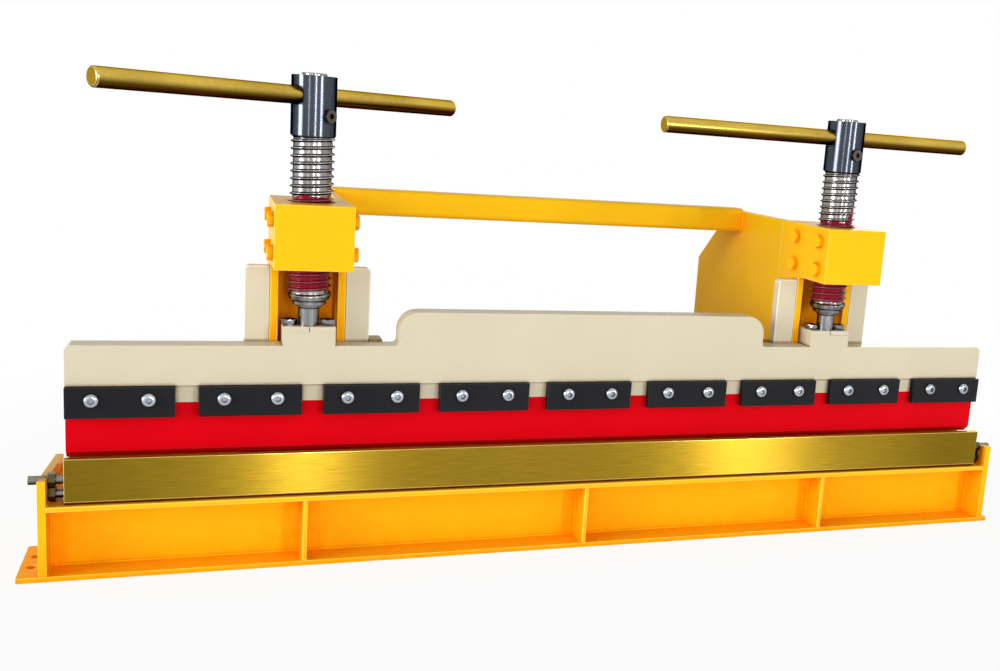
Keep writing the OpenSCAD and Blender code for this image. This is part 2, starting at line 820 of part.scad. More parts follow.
module left_hub_screw() hub_screw(-frame_x, left_bar_angle);
module right_hub_screw() hub_screw(frame_x, right_bar_angle);

// Tommy bar through a hub, pushed towards its left end by shift
module tommy_bar(x, turn, shift) {
    color(bar_color) translate([x, screw_y, bar_z]) rotate([0, 0, turn])
        translate([-bar_l / 2 - shift, 0, 0]) rotate([0, 90, 0])
            rotate_extrude()
                polygon([[0, 0], [bar_d / 2 - bar_edge, 0], [bar_d / 2, bar_edge],
                    [bar_d / 2, bar_l - bar_edge], [bar_d / 2 - bar_edge, bar_l],
                    [0, bar_l]]);
}

module left_tommy_bar() tommy_bar(-frame_x, left_bar_angle, bar_shift_left);
module right_tommy_bar() tommy_bar(frame_x, right_bar_angle, bar_shift_right);

base_sole_plate();
base_front_web();
base_rear_web();
base_table_plate();
base_rib_left();
base_rib_middle();
base_rib_right();
end_plate_left();
end_plate_right();
rear_foot_left();
rear_foot_right();
left_frame_outer_side();
left_frame_inner_side();
left_frame_back_plate();
right_frame_inner_side();
right_frame_outer_side();
right_frame_back_plate();
left_outer_guide_bar();
left_inner_guide_bar();
right_inner_guide_bar();
right_outer_guide_bar();
left_head_block();
right_head_block();
left_screw_nut();
right_screw_nut();
left_head_bolts();
right_head_bolts();
tie_tube();
die_bar();
die_studs();
die_lock_nuts();
ram_beam();
ram_blade();
clamp_plate_1();
clamp_plate_2();
clamp_plate_3();
clamp_plate_4();
clamp_plate_5();
clamp_plate_6();
clamp_plate_7();
clamp_plate_8();
clamp_plate_9();
clamp_screws();
left_keeper_block();
left_keeper_cap_a();
left_keeper_cap_b();
right_keeper_block();
right_keeper_cap_a();
right_keeper_cap_b();
keeper_bolts();
left_guide_shoe();
right_guide_shoe();
left_spindle();
right_spindle();
left_hub();
right_hub();
left_hub_screw();
right_hub_screw();
left_tommy_bar();
right_tommy_bar();
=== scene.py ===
# %% [markdown]
# # A manual press brake
# A bench press brake folds sheet metal. Two hand screws push a long beam down, a blade under
# the beam presses the sheet into a grooved die, and a welded base carries everything.
# The solids come from the CAD model. This lesson gives them their looks: soft edges, threads,
# screws, welds, paint and bare metal, then a camera and plain studio light.

# %% Load the CAD model
import bmesh
import bpy
import json
import math
from mathutils import Matrix, Vector


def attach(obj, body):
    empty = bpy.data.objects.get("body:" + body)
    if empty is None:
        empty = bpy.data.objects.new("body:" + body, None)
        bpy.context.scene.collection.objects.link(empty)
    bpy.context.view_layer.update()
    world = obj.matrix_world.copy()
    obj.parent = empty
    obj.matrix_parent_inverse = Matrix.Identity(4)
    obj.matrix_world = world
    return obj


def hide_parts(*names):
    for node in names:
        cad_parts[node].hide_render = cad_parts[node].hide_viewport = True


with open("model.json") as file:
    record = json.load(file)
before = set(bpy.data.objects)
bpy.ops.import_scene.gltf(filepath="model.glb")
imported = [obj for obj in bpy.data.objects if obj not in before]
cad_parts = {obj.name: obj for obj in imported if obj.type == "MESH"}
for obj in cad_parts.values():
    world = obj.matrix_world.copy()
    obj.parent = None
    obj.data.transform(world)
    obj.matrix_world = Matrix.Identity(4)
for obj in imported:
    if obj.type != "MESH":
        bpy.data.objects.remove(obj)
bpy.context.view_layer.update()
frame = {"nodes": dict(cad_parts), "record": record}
nodes = frame["nodes"]
body_of_node = {n: b for b, names in frame["record"]["behaviour"]["bodies"].items() for n in names}
slot_of_node = {s["node"]: s["material_slot"] for s in frame["record"]["subparts"]}

# %% [markdown]
# ## Sizes
# These values repeat sizes of the CAD model, in metres. The two screws stand equally far from
# the middle, and what sits on them is measured from their axes.

# %% Sizes shared by several steps
SCREW_X, SCREW_Y = 0.288, 0.0142
SIDES = (("left", -SCREW_X), ("right", SCREW_X))
THREAD_RADIUS, THREAD_LOW, THREAD_HIGH, PITCH = 0.0203, 0.264, 0.415, 0.007
FRAME_INNER, FRAME_OUTER = 0.0279, 0.0359
SOLE_TOP, TABLE_UNDER, TABLE_TOP = 0.005, 0.0662, 0.0712
print("screws at", [x for _, x in SIDES], "thread pitch", PITCH)

# %% [markdown]
# ## Camera
# The photograph was taken from the front left, a little above the machine. The place, the turn
# and the lens below were worked out from straight edges and known lengths in the photograph.
# A small sideways shift stands for the photograph's crop.

# %% Camera
def add_camera(place, yaw, pitch, roll, lens, shift):
    yaw, pitch, roll = (math.radians(a) for a in (yaw, pitch, roll))
    ahead = Vector((math.sin(yaw) * math.cos(pitch), math.cos(yaw) * math.cos(pitch), math.sin(pitch)))
    side = Vector((math.cos(yaw), -math.sin(yaw), 0))
    up = side.cross(ahead)
    right = side * math.cos(roll) + up * math.sin(roll)
    top = up * math.cos(roll) - side * math.sin(roll)
    data = bpy.data.cameras.new("view_camera")
    data.sensor_width, data.lens = 36, lens
    data.shift_x, data.shift_y = shift
    camera = bpy.data.objects.new("view_camera", data)
    bpy.context.scene.collection.objects.link(camera)
    camera.matrix_world = Matrix.Translation(place) @ Matrix((right, top, -ahead)).transposed().to_4x4()
    bpy.context.scene.camera = camera
    return camera


camera = add_camera(Vector((-0.37795, -1.05004, 0.43759)), yaw=20.69, pitch=-10.15, roll=4.31,
                    lens=38.87, shift=(-0.110, -0.008))
print("camera at", [round(c, 3) for c in camera.location])

# %% [markdown]
# ## Shared effects
# Five effects are used by several finishes, so each is a node group with named inputs:
# a slow change of tone, a darker colour in corners that is partly dirt and partly painted
# shade, fine lines left by a brush or a grinding belt, the faint ripple that sprayed paint
# has, and painted shade on faces that look down.

# %% Helpers for node groups
def new_group(name, inputs, outputs):
    group = bpy.data.node_groups.new(name, "ShaderNodeTree")
    for label, kind, value in inputs:
        socket = group.interface.new_socket(label, in_out="INPUT", socket_type="NodeSocket" + kind)
        socket.default_value = value
    for label, kind in outputs:
        group.interface.new_socket(label, in_out="OUTPUT", socket_type="NodeSocket" + kind)
    return group, group.nodes.new("NodeGroupInput"), group.nodes.new("NodeGroupOutput")


def put(tree, kind, **values):
    node = tree.nodes.new(kind)
    for key, value in values.items():
        setattr(node, key, value)
    return node


def math_node(tree, operation, a, b=None, clamp=False):
    node = put(tree, "ShaderNodeMath", operation=operation, use_clamp=clamp)
    for i, value in enumerate((a, b)):
        if value is None:
            continue
        if isinstance(value, (int, float)):
            node.inputs[i].default_value = value
        else:
            tree.links.new(value, node.inputs[i])
    return node.outputs[0]


def spread_range(tree, value, low, high, to_low, to_high, **kind):
    node = put(tree, "ShaderNodeMapRange", **kind)
    for label, number in (("From Min", low), ("From Max", high), ("To Min", to_low), ("To Max", to_high)):
        node.inputs[label].default_value = number
    tree.links.new(value, node.inputs["Value"])
    return node.outputs[0]


def grey_of(tree, value):
    node = put(tree, "ShaderNodeCombineColor")
    for i in range(3):
        tree.links.new(value, node.inputs[i])
    return node.outputs[0]


# Noise lies mostly between these two values, so they are spread over the whole change
NOISE_LOW, NOISE_HIGH = 0.3, 0.7
print("helpers ready, noise spread from", NOISE_LOW, "to", NOISE_HIGH)

# %% Tone change
def make_tone():
    inputs = [("Scale", "Float", 8.0), ("Low", "Float", 0.9), ("High", "Float", 1.05)]
    group, given, out = new_group("tone_change", inputs, [("Value", "Float")])
    place = put(group, "ShaderNodeTexCoord")
    noise = put(group, "ShaderNodeTexNoise")
    noise.inputs["Detail"].default_value = 5
    spread = put(group, "ShaderNodeMapRange")
    group.links.new(place.outputs["Object"], noise.inputs["Vector"])
    group.links.new(given.outputs["Scale"], noise.inputs["Scale"])
    group.links.new(noise.outputs["Fac"], spread.inputs["Value"])
    spread.inputs["From Min"].default_value = NOISE_LOW
    spread.inputs["From Max"].default_value = NOISE_HIGH
    group.links.new(given.outputs["Low"], spread.inputs["To Min"])
    group.links.new(given.outputs["High"], spread.inputs["To Max"])
    group.links.new(spread.outputs[0], out.inputs[0])
    return group


tone_change = make_tone()
print("made", tone_change.name)

# %% Corner dirt and painted shade
def make_corner_dirt_and_shade():
    inputs = [("Reach", "Float", 0.006), ("Amount", "Float", 0.6), ("Breakup", "Float", 90.0)]
    group, given, out = new_group("corner_dirt", inputs, [("Mask", "Float")])
    shade = put(group, "ShaderNodeAmbientOcclusion", samples=6, inside=False)
    group.links.new(given.outputs["Reach"], shade.inputs["Distance"])
    place = put(group, "ShaderNodeTexCoord")
    noise = put(group, "ShaderNodeTexNoise")
    noise.inputs["Detail"].default_value = 3
    group.links.new(place.outputs["Object"], noise.inputs["Vector"])
    group.links.new(given.outputs["Breakup"], noise.inputs["Scale"])
    # Painted shade: occlusion darkens the colour in corners and creases, and noise breaks it up like dirt
    closed = math_node(group, "SUBTRACT", 1.0, shade.outputs["AO"])
    broken = math_node(group, "MULTIPLY", closed, math_node(group, "ADD", noise.outputs["Fac"], 0.5))
    group.links.new(math_node(group, "MULTIPLY", broken, given.outputs["Amount"], True), out.inputs[0])
    return group


corner_dirt = make_corner_dirt_and_shade()
print("made", corner_dirt.name)

# %% Brush lines
def make_lines():
    inputs = [("Stretch", "Vector", (4.0, 600.0, 600.0)), ("Strength", "Float", 0.2),
              ("Depth", "Float", 0.00002)]
    group, given, out = new_group("brush_lines", inputs, [("Value", "Float"), ("Normal", "Vector")])
    place = put(group, "ShaderNodeTexCoord")
    scale = put(group, "ShaderNodeVectorMath", operation="MULTIPLY")
    noise = put(group, "ShaderNodeTexNoise")
    noise.inputs["Scale"].default_value = 1
    noise.inputs["Detail"].default_value = 6
    bump = put(group, "ShaderNodeBump")
    group.links.new(place.outputs["Object"], scale.inputs[0])
    group.links.new(given.outputs["Stretch"], scale.inputs[1])
    group.links.new(scale.outputs[0], noise.inputs["Vector"])
    group.links.new(noise.outputs["Fac"], bump.inputs["Height"])
    group.links.new(given.outputs["Depth"], bump.inputs["Distance"])
    centred = math_node(group, "SUBTRACT", noise.outputs["Fac"], 0.5)
    change = math_node(group, "MULTIPLY", centred, given.outputs["Strength"])
    group.links.new(math_node(group, "ADD", change, 1.0), out.inputs[0])
    group.links.new(bump.outputs[0], out.inputs[1])
    return group


brush_lines = make_lines()
print("made", brush_lines.name)

# %% Sprayed ripple
def make_ripple():
    inputs = [("Scale", "Float", 260.0), ("Depth", "Float", 0.00006)]
    group, given, out = new_group("sprayed_ripple", inputs, [("Normal", "Vector"), ("Value", "Float")])
    place = put(group, "ShaderNodeTexCoord")
    noise = put(group, "ShaderNodeTexNoise")
    noise.inputs["Detail"].default_value = 2
    bump = put(group, "ShaderNodeBump")
    group.links.new(place.outputs["Object"], noise.inputs["Vector"])
    group.links.new(given.outputs["Scale"], noise.inputs["Scale"])
    group.links.new(noise.outputs["Fac"], bump.inputs["Height"])
    group.links.new(given.outputs["Depth"], bump.inputs["Distance"])
    group.links.new(bump.outputs[0], out.inputs[0])
    group.links.new(noise.outputs["Fac"], out.inputs[1])
    return group


sprayed_ripple = make_ripple()
print("made", sprayed_ripple.name)

# %% Painted shade underneath
def make_underside_shade():
    inputs = [("Start", "Float", 0.4), ("End", "Float", -0.6)]
    group, given, out = new_group("underside", inputs, [("Mask", "Float")])
    # Painted shade: the mask grows as a face turns down, for a darker colour underneath
    surface = put(group, "ShaderNodeNewGeometry")
    split = put(group, "ShaderNodeSeparateXYZ")
    spread = put(group, "ShaderNodeMapRange", interpolation_type="SMOOTHSTEP")
    group.links.new(surface.outputs["Normal"], split.inputs[0])
    group.links.new(split.outputs[2], spread.inputs["Value"])
    group.links.new(given.outputs["Start"], spread.inputs["From Min"])
    group.links.new(given.outputs["End"], spread.inputs["From Max"])
    group.links.new(spread.outputs[0], out.inputs[0])
    return group


underside = make_underside_shade()
print("made", underside.name)

# %% [markdown]
# ## Finishes
# Every finish starts from one base colour. The tone group lightens and darkens it, the corner
# group lays a darker colour into corners, partly dirt and partly painted shade, and ripple or brush lines bend
# the light.
# Constant values such as metalness stay on the shader's own sockets.

# %% Finish builder
def use_group(tree, group, **values):
    node = put(tree, "ShaderNodeGroup", node_tree=group)
    for label, value in values.items():
        node.inputs[label].default_value = value
    return node


def blend(tree, kind, mask, a, b):
    mix = put(tree, "ShaderNodeMix", data_type="RGBA", blend_type=kind)
    for socket, value in ((mix.inputs["Factor"], mask), (mix.inputs[6], a), (mix.inputs[7], b)):
        if isinstance(value, (int, float)):
            socket.default_value = value
        elif isinstance(value, tuple):
            socket.default_value = (*value, 1)
        else:
            tree.links.new(value, socket)
    return mix.outputs[2]


def start_finish(name, metallic, roughness, shine, glint):
    material = bpy.data.materials.new(name)
    material.use_nodes = True
    tree = material.node_tree
    shader = tree.nodes["Principled BSDF"]
    shader.inputs["Metallic"].default_value = metallic
    shader.inputs["Roughness"].default_value = roughness
    shader.inputs["Specular IOR Level"].default_value = shine
    shader.inputs["Specular Tint"].default_value = (*glint, 1)
    return material, tree, shader


def toned(tree, colour, scale, low, high):
    tone = use_group(tree, tone_change, Scale=scale, Low=low, High=high)
    return blend(tree, "MULTIPLY", 1.0, colour, grey_of(tree, tone.outputs[0]))


METAL_SHINE = 0.5
print("finish helpers ready, shine of metals", METAL_SHINE)

# %% [markdown]
# Two things lie over every finish. Edges get a painted highlight, a lighter colour on the faces
# that the softened copies made further down mark as "edge". Seams are darker: partly dirt and thick paint,
# partly painted shade in the creases.

# %% Edges and seams
# Painted highlight: the marked edge faces get a lighter colour
def with_edge_highlight(tree, base, colour, amount):
    mark = put(tree, "ShaderNodeAttribute", attribute_name="edge")
    return blend(tree, "MIX", math_node(tree, "MULTIPLY", mark.outputs["Fac"], amount), base, colour)


# Darker colour in seams and creases: partly dirt, partly painted shade
def seamed(tree, base, colour, reach, amount):
    crease_darkening = use_group(tree, corner_dirt, Reach=reach, Amount=amount)
    return blend(tree, "MIX", crease_darkening.outputs[0], base, colour)


# Shares of the painted edge highlight, on paint and on metal
PAINT_EDGE_HIGHLIGHT, METAL_EDGE_HIGHLIGHT, METAL_SEAM = 0.7, 0.8, 0.003
print("edges are worn by", PAINT_EDGE_HIGHLIGHT, "on paint and", METAL_EDGE_HIGHLIGHT, "on metal")

# %% Sprayed paints
RIPPLE_DEPTH = 0.00002
PAINT_CLOUD = 9.0


def paint(name, colour, edge, seam, recess_shade, rough, tone, shine, glint):
    material, tree, shader = start_finish(name, 0.0, rough[0], shine, glint)
    ripple = use_group(tree, sprayed_ripple, Depth=RIPPLE_DEPTH)
    base = toned(tree, colour, PAINT_CLOUD, *tone)
    # Painted shade: recesses get a deeper orange, standing in for shade and light bounced between yellow faces
    if recess_shade:
        base = seamed(tree, base, *recess_shade)
    base = with_edge_highlight(tree, base, edge, PAINT_EDGE_HIGHLIGHT)
    # Seams get a darker colour: partly dirt, partly painted shade in the creases
    tree.links.new(seamed(tree, base, *seam), shader.inputs["Base Color"])
    tree.links.new(ripple.outputs["Normal"], shader.inputs["Normal"])
    dullness = spread_range(tree, ripple.outputs["Value"], NOISE_LOW, NOISE_HIGH, *rough)
    tree.links.new(dullness, shader.inputs["Roughness"])
    return material


yellow = paint("yellow_paint", colour=(1.0, 0.56, 0.010), edge=(1.0, 0.76, 0.13),
               seam=((0.66, 0.20, 0.0), 0.004, 0.8), recess_shade=((1.0, 0.33, 0.0), 0.05, 1.4),
               rough=(0.26, 0.36), tone=(0.95, 1.03), shine=0.04, glint=(1.0, 0.75, 0.3))
beige = paint("beige_paint", colour=(0.69, 0.62, 0.452), edge=(0.96, 0.93, 0.82),
              seam=((0.14, 0.07, 0.02), 0.0035, 1.5), recess_shade=None,
              rough=(0.26, 0.36), tone=(0.96, 1.03), shine=0.15, glint=(1.0, 0.95, 0.8))
red = paint("red_paint", colour=(0.74, 0.001, 0.006), edge=(0.80, 0.02, 0.02),
            seam=((0.34, 0.0, 0.0), 0.012, 0.6), recess_shade=None,
            rough=(0.34, 0.46), tone=(0.93, 1.04), shine=0.1, glint=(1.0, 0.2, 0.3))
black = paint("black_paint", colour=(0.009, 0.009, 0.0115), edge=(0.05, 0.055, 0.055),
              seam=((0.003, 0.003, 0.003), 0.004, 0.8), recess_shade=None,
              rough=(0.34, 0.46), tone=(0.8, 1.3), shine=0.12, glint=(1.0, 1.0, 1.0))
print("paints", [m.name for m in (yellow, beige, red, black)])

# %% [markdown]
# Bare metals reflect the studio, so they need less colour and more fine change. The die is
# brushed along its length, so it smears a lamp's reflection upright: anisotropy does that,
# with the tangent laid across the grain. Hubs and bars were turned, zinc is faintly cloudy.

# %% Metal builder
BRUSH_DEPTH = 0.000004


def metal(name, colour, dark, metallic, rough, stretch=None, strength=None, cloud=(22.0, 0.88, 1.1),
          glint=(1, 1, 1), rim=None, below=None, shade=None, across=None, grime_and_shade=1.2):
    material, tree, shader = start_finish(name, metallic, rough, METAL_SHINE, glint)
    base = toned(tree, colour, *cloud)
    if shade:
        base = blend(tree, "MULTIPLY", 1.0, base, shade(tree))
    if stretch:
        lines = use_group(tree, brush_lines, Stretch=stretch, Strength=strength, Depth=BRUSH_DEPTH)
        base = blend(tree, "MULTIPLY", 1.0, base, grey_of(tree, lines.outputs["Value"]))
        tree.links.new(lines.outputs["Normal"], shader.inputs["Normal"])
    if across:
        grain = put(tree, "ShaderNodeTangent", direction_type="RADIAL", axis=across)
        tree.links.new(grain.outputs[0], shader.inputs["Tangent"])
        shader.inputs["Anisotropic"].default_value = 1.0
    # Painted shade: faces that look down get the darker colour below
    if below:
        shade_below_mask = use_group(tree, underside, Start=0.3, End=-0.5)
        base = blend(tree, "MIX", shade_below_mask.outputs[0], base, below)
    # Painted highlight: the marked edges get the lighter rim colour
    if rim:
        base = with_edge_highlight(tree, base, rim, METAL_EDGE_HIGHLIGHT)
    # Seams and creases get the dark colour: partly grime, partly painted shade
    tree.links.new(seamed(tree, base, dark, METAL_SEAM, grime_and_shade), shader.inputs["Base Color"])
    return material


# Painted shade: the die's colour darkens towards both ends
def die_shade(tree):
    place = put(tree, "ShaderNodeTexCoord")
    split = put(tree, "ShaderNodeSeparateXYZ")
    tree.links.new(place.outputs["Object"], split.inputs[0])
    from_middle = math_node(tree, "ABSOLUTE", split.outputs[0])
    ends = spread_range(tree, from_middle, 0.33, 0.48, 1.0, 0.68, interpolation_type="SMOOTHSTEP")
    return grey_of(tree, ends)


print("metal builder ready, brush depth", BRUSH_DEPTH)

# %% Bare metals
die_metal = metal("die_coat", (0.34, 0.215, 0.016), (0.05, 0.03, 0.004), 1.0, 0.27,
                  stretch=(40.0, 1400.0, 1000.0), strength=0.7, cloud=(6.0, 0.9, 1.08),
                  glint=(1.0, 0.85, 0.4), rim=(0.75, 0.55, 0.15), shade=die_shade, across="X")
zinc = metal("zinc", (0.42, 0.45, 0.50), (0.10, 0.11, 0.13), 1.0, 0.2, glint=(0.4, 0.4, 0.45), grime_and_shade=0.7)
bolt_metal = metal("bolt_zinc", (0.24, 0.25, 0.27), (0.02, 0.02, 0.02), 1.0, 0.14, glint=(0.2, 0.2, 0.2))
stud_metal = metal("stud_steel", (0.26, 0.24, 0.19), (0.02, 0.02, 0.01), 1.0, 0.18,
                   glint=(0.2, 0.2, 0.2), below=(0.05, 0.04, 0.02))
nut_metal = metal("nut_steel", (0.12, 0.10, 0.05), (0.01, 0.01, 0.01), 1.0, 0.25)
hub_metal = metal("dark_steel", (0.060, 0.068, 0.084), (0.006, 0.006, 0.008), 1.0, 0.16,
                  stretch=(30.0, 30.0, 900.0), strength=0.5, glint=(0.08, 0.08, 0.1),
                  rim=(0.42, 0.45, 0.50))
pin_metal = metal("pin_steel", (0.10, 0.085, 0.075), (0.02, 0.015, 0.01), 1.0, 0.25)
bar_metal = metal("passivated_steel", (0.62, 0.42, 0.075), (0.06, 0.03, 0.004), 1.0, 0.21,
                  stretch=(30.0, 500.0, 500.0), strength=0.5, cloud=(14.0, 0.8, 1.15),
                  glint=(0.22, 0.13, 0.02), rim=(0.6, 0.45, 0.15), below=(0.075, 0.038, 0.004))
bronze = metal("bronze", (0.20, 0.15, 0.03), (0.03, 0.02, 0.006), 0.8, 0.4)
metals = (die_metal, zinc, bolt_metal, stud_metal, nut_metal, hub_metal, pin_metal, bar_metal, bronze)
print("metals", [m.name for m in metals])

# %% [markdown]
# The spindles are bright steel with red grease near the heads. The grease lies in the valleys
# of the thread, so its mask uses the distance from the spindle's axis and the height.

# %% Greased steel
GREASE_LOW, GREASE_HIGH, GREASE_WOBBLE = 0.2685, 0.3595, 0.012
SMEAR = {"left": 0.0, "right": 0.03}


def grease_mask(tree, place, height, dx, radius, smear):
    noise = put(tree, "ShaderNodeTexNoise")
    noise.inputs["Scale"].default_value = 70
    tree.links.new(place, noise.inputs["Vector"])
    centred = math_node(tree, "SUBTRACT", noise.outputs["Fac"], 0.5)
    uneven = math_node(tree, "ADD", height, math_node(tree, "MULTIPLY", centred, GREASE_WOBBLE))
    pulled = math_node(tree, "MULTIPLY", math_node(tree, "MAXIMUM", dx, 0.0), smear / THREAD_RADIUS)
    over = math_node(tree, "GREATER_THAN", uneven, GREASE_LOW)
    under = math_node(tree, "LESS_THAN", math_node(tree, "SUBTRACT", uneven, pulled), GREASE_HIGH)
    valley = spread_range(tree, radius, THREAD_RADIUS, THREAD_RADIUS - 0.0012, 0.75, 1.0)
    return math_node(tree, "MULTIPLY", math_node(tree, "MULTIPLY", over, under), valley, True)


def greased_steel(name, axis_x, smear):
    material, tree, shader = start_finish(name, 1.0, 0.22, METAL_SHINE, (0.12, 0.12, 0.13))
    place = put(tree, "ShaderNodeTexCoord").outputs["Object"]
    split = put(tree, "ShaderNodeSeparateXYZ")
    tree.links.new(place, split.inputs[0])
    height = split.outputs[2]
    dx = math_node(tree, "SUBTRACT", split.outputs[0], axis_x)
    dy = math_node(tree, "SUBTRACT", split.outputs[1], SCREW_Y)
    squares = math_node(tree, "ADD", math_node(tree, "MULTIPLY", dx, dx), math_node(tree, "MULTIPLY", dy, dy))
    radius = math_node(tree, "SQRT", squares)
    grease = grease_mask(tree, place, height, dx, radius, smear)
    # Darker brown down in the thread valleys: partly oil, partly painted shade
    flank = spread_range(tree, radius, THREAD_RADIUS - 0.0002, THREAD_RADIUS - 0.0015, 0.0, 0.35)
    on_thread = math_node(tree, "GREATER_THAN", height, THREAD_LOW)
    oil_and_shade = math_node(tree, "MULTIPLY", flank, on_thread, True)
    # Painted reflection: upright light and dark streaks stand in for reflected lamps, on the thread and the
    # neck
    streaks = use_group(tree, brush_lines, Stretch=(150.0, 150.0, 9.0), Strength=2.2)
    reflection_streaks = grey_of(tree, streaks.outputs["Value"])
    steel = blend(tree, "MULTIPLY", 1.0, toned(tree, (0.37, 0.365, 0.37), 35.0, 0.8, 1.1), reflection_streaks)
    neck = blend(tree, "MULTIPLY", 1.0, (0.24, 0.24, 0.245), reflection_streaks)
    oiled_and_shaded = blend(tree, "MIX", oil_and_shade, blend(tree, "MIX", on_thread, neck, steel), (0.16, 0.12, 0.10))
    # Painted shadow: the downward flanks of the ridge get a dark colour
    shade_below_mask = use_group(tree, underside, Start=0.0, End=-0.6)
    shadow = math_node(tree, "MULTIPLY", on_thread, shade_below_mask.outputs[0])
    shadowed = blend(tree, "MIX", shadow, oiled_and_shaded, (0.08, 0.07, 0.07))
    coloured = blend(tree, "MIX", grease, shadowed, (0.20, 0.006, 0.018))
    bare = math_node(tree, "SUBTRACT", 1.0, math_node(tree, "MULTIPLY", grease, 0.75))
    tree.links.new(coloured, shader.inputs["Base Color"])
    tree.links.new(bare, shader.inputs["Metallic"])
    return material


screw_steel = {side: greased_steel(side + "_bright_steel", x, SMEAR[side]) for side, x in SIDES}
print("spindle finishes", [m.name for m in screw_steel.values()])

# %% Finish of each node
finish_of_slot = {"yellow_paint": yellow, "beige_paint": beige, "red_paint": red, "black_paint": black,
                  "die_coat": die_metal, "zinc": zinc, "dark_steel": hub_metal,
                  "passivated_steel": bar_metal, "bronze": bronze, "bright_steel": screw_steel["left"]}
finish_of_node = {"die_lock_nuts": nut_metal, "die_studs": stud_metal,
                  "left_hub_screw": pin_metal, "right_hub_screw": pin_metal}


def finish_of(name):
    return finish_of_node.get(name, finish_of_slot[slot_of_node[name]])


print("finishes by slot", len(finish_of_slot), "by node", len(finish_of_node))

# %% [markdown]
# ## Softened copies
# Real edges are never perfectly sharp: sawn plate, castings and paint all round them off, and
# that thin rounded line catches the light. Each CAD solid is copied, its loose triangles are
# joined into clean faces, and a Bevel modifier rounds what is sharper than 30 degrees. The
# modifier gives its new faces a second material number, which is read back into an "edge"
# attribute, so that the finishes can paint a highlight onto the edges in a lighter colour.
# A Weighted Normal modifier then keeps the large faces flat, so that only the narrow new faces bend the light.

# %% Copy, bake and hand over
def link(obj):
    bpy.context.scene.collection.objects.link(obj)
    return obj


def bake(obj):
    graph = bpy.context.evaluated_depsgraph_get()
    mesh = bpy.data.meshes.new_from_object(obj.evaluated_get(graph))
    obj.modifiers.clear()
    obj.data = mesh
    return obj


def take_over(obj, material, *names):
    obj.data.materials.clear()
    obj.data.materials.append(material)
    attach(obj, body_of_node[names[0]])
    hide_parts(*names)
    return obj


# Points closer than this are one point
SAME_PLACE = 1e-6
print("points closer than", SAME_PLACE, "are joined")

# %% Soften the solids
FLAT_ANGLE, SHARP_ANGLE, BEVEL_SEGMENTS, FLAT_WEIGHT = 0.6, 30, 3, 100


def add_edge_modifiers(obj, width):
    bevel = obj.modifiers.new("edge", "BEVEL")
    bevel.material = 1
    bevel.width, bevel.segments, bevel.limit_method = width, BEVEL_SEGMENTS, "ANGLE"
    bevel.angle_limit, bevel.use_clamp_overlap = math.radians(SHARP_ANGLE), True
    flats = obj.modifiers.new("flats", "WEIGHTED_NORMAL")
    flats.mode, flats.weight = "FACE_AREA", FLAT_WEIGHT


def softened(name, width):
    mesh = bpy.data.meshes.new(name + "_shape")
    work = bmesh.new()
    work.from_mesh(nodes[name].data)
    bmesh.ops.remove_doubles(work, verts=work.verts, dist=SAME_PLACE)
    bmesh.ops.dissolve_limit(work, angle_limit=math.radians(FLAT_ANGLE), verts=work.verts, edges=work.edges)
    for face in work.faces:
        face.smooth = True
    work.to_mesh(mesh)
    work.free()
    for _ in range(2):
        mesh.materials.append(None)
    obj = link(bpy.data.objects.new(name + "_shape", mesh))
    add_edge_modifiers(obj, width)
    bake(obj)
    edge = obj.data.attributes.new("edge", "FLOAT", "FACE")
    for face in obj.data.polygons:
        edge.data[face.index].value = float(face.material_index == 1)
        face.material_index = 0
    return obj


edge_widths = {"base_": 0.0010, "end_plate": 0.0014, "rear_foot": 0.0012, "_side": 0.0010,
               "_back_plate": 0.0008, "guide_bar": 0.0012, "head_block": 0.0022, "tie_tube": 0.0008,
               "die_bar": 0.0007, "ram_beam": 0.0012, "ram_blade": 0.0004, "clamp_plate": 0.0006,
               "keeper_block": 0.0018, "keeper_cap": 0.0009, "guide_shoe": 0.0008, "_hub": 0.0012,
               "_nut": 0.0005, "tommy_bar": 0.0006}


def edge_width(name):
    if "screw" in name.replace("screw_nut", ""):
        return None
    return next((width for key, width in edge_widths.items() if key in name), None)


soft_names = [name for name in nodes if edge_width(name) is not None]
for name in soft_names:
    take_over(softened(name, edge_width(name)), finish_of(name), name)
print("softened", len(soft_names), "of", len(nodes))

# %% [markdown]
# ## Threads
# A trapezoidal thread is one ridge wound around a rod. A grid of points can be wrapped around
# the rod: the angle comes from one direction of the grid and the height from the other, and
# the radius follows the ridge. Geometry Nodes do this from a pitch, a depth and a radius.

# %% Helpers for geometry trees
def geometry_tree(name, inputs):
    tree = bpy.data.node_groups.new(name, "GeometryNodeTree")
    tree.interface.new_socket("Geometry", in_out="OUTPUT", socket_type="NodeSocketGeometry")
    ids = {}
    for label, kind in inputs:
        socket = tree.interface.new_socket(label, in_out="INPUT", socket_type="NodeSocket" + kind)
        ids[label] = socket.identifier
    return tree, ids, tree.nodes.new("NodeGroupInput"), tree.nodes.new("NodeGroupOutput")


def finish_tree(tree, given, out, geometry):
    real = put(tree, "GeometryNodeRealizeInstances")
    paint_it = put(tree, "GeometryNodeSetMaterial")
    tree.links.new(geometry, real.inputs[0])
    tree.links.new(real.outputs[0], paint_it.inputs["Geometry"])
    tree.links.new(given.outputs["Material"], paint_it.inputs["Material"])
    tree.links.new(paint_it.outputs[0], out.inputs[0])


def grown(name, tree, ids, values, mesh=None):
    obj = link(bpy.data.objects.new(name, mesh or bpy.data.meshes.new(name)))
    modifier = obj.modifiers.new("grow", "NODES")
    for label, value in values.items():
        modifier[ids[label]] = value
    modifier.node_group = tree
    for label, value in values.items():
        modifier[ids[label]] = value
    return bake(obj)


# The valley of the thread, as shares of a pitch from the middle of the crest
CREST_HALF, VALLEY_START = 0.04, 0.25
print("crest ends at", CREST_HALF, "and valley starts at", VALLEY_START, "of the pitch")

